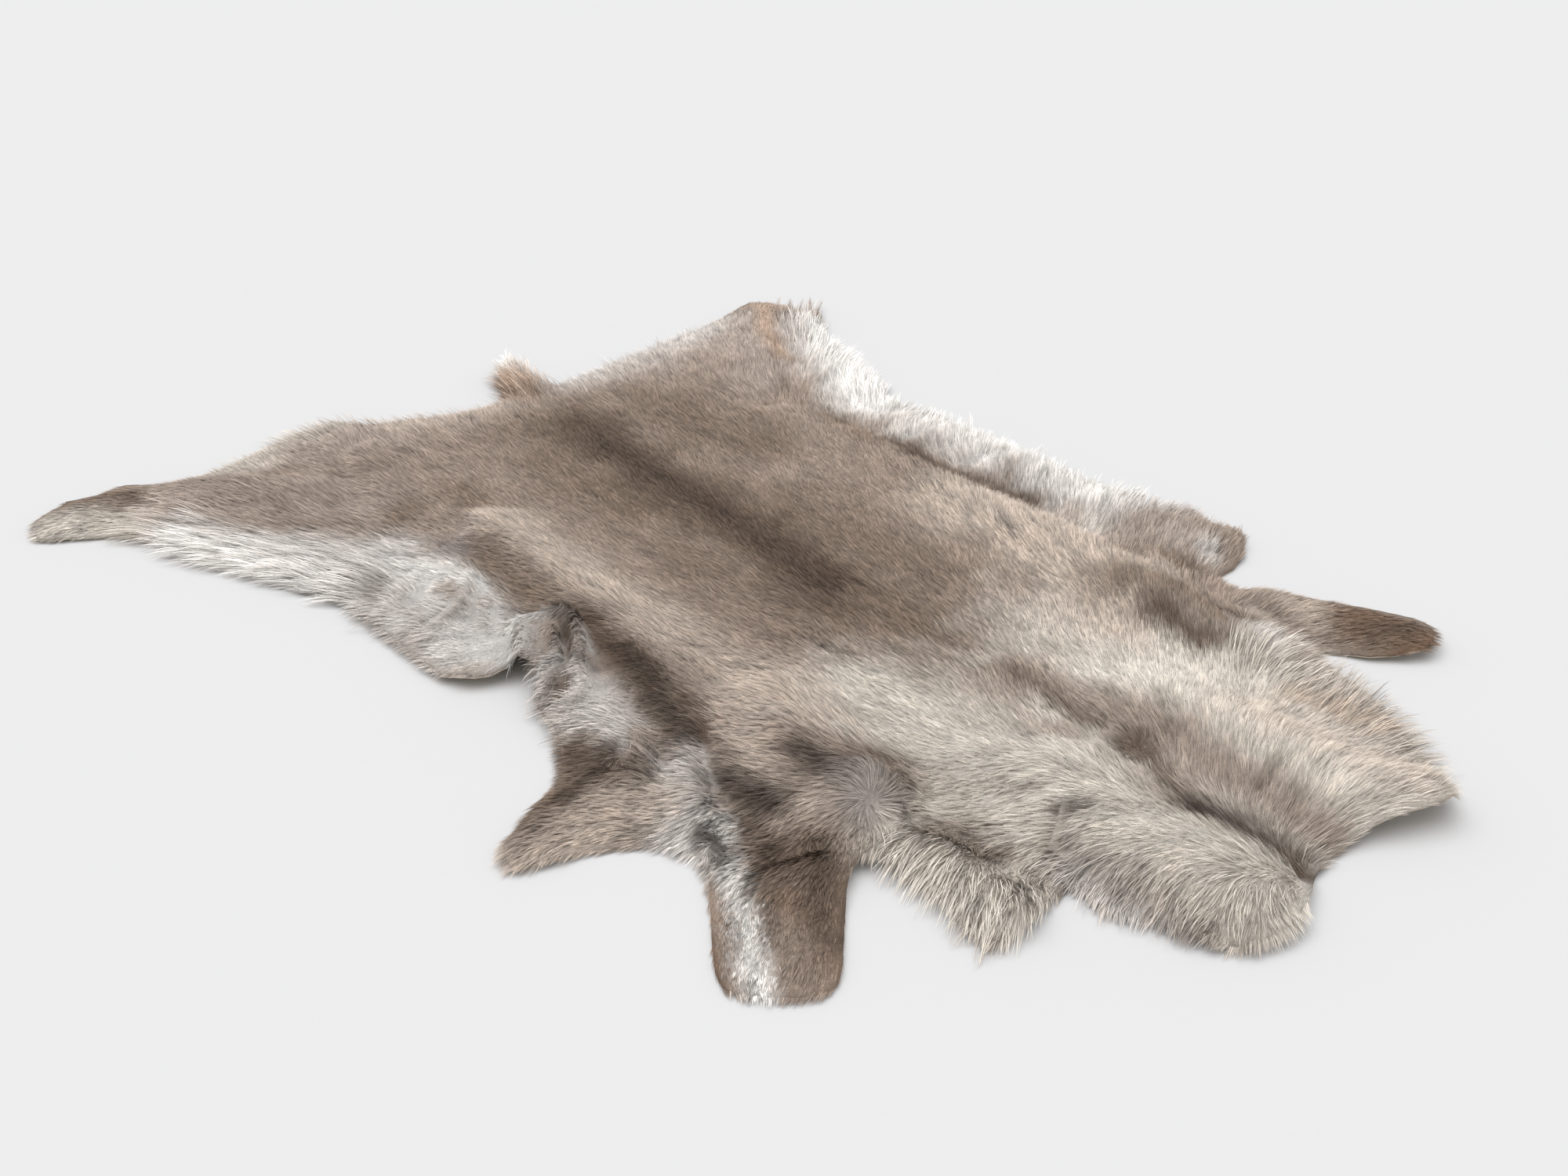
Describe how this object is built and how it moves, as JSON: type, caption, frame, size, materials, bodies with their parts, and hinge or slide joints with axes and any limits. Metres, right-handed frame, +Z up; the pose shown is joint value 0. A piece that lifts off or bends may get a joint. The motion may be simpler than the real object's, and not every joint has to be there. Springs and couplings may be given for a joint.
{
  "type": "reindeer hide",
  "caption": "Tanned reindeer hide with the fur on, one piece with neck, tail and four leg skins, lying fur side up in shallow folds.",
  "frame": {"origin": "middle of the spine line on the surface that the hide rests on, halfway between the tail root and the neck end", "axes": "+X along the spine towards the neck, +Y to the animal's left, +Z up, away from the surface"},
  "size_m": [1.4768, 1.19, 0.0562],
  "materials": {
    "fur": "dense straight grey-brown reindeer hair, paler on the neck and flanks, white on the belly, with a dark line along the spine",
    "leather": "pale tanned skin side, matt and slightly napped"
  },
  "bodies": {
    "root": {"hide": "fur"}
  },
  "joints": []
}
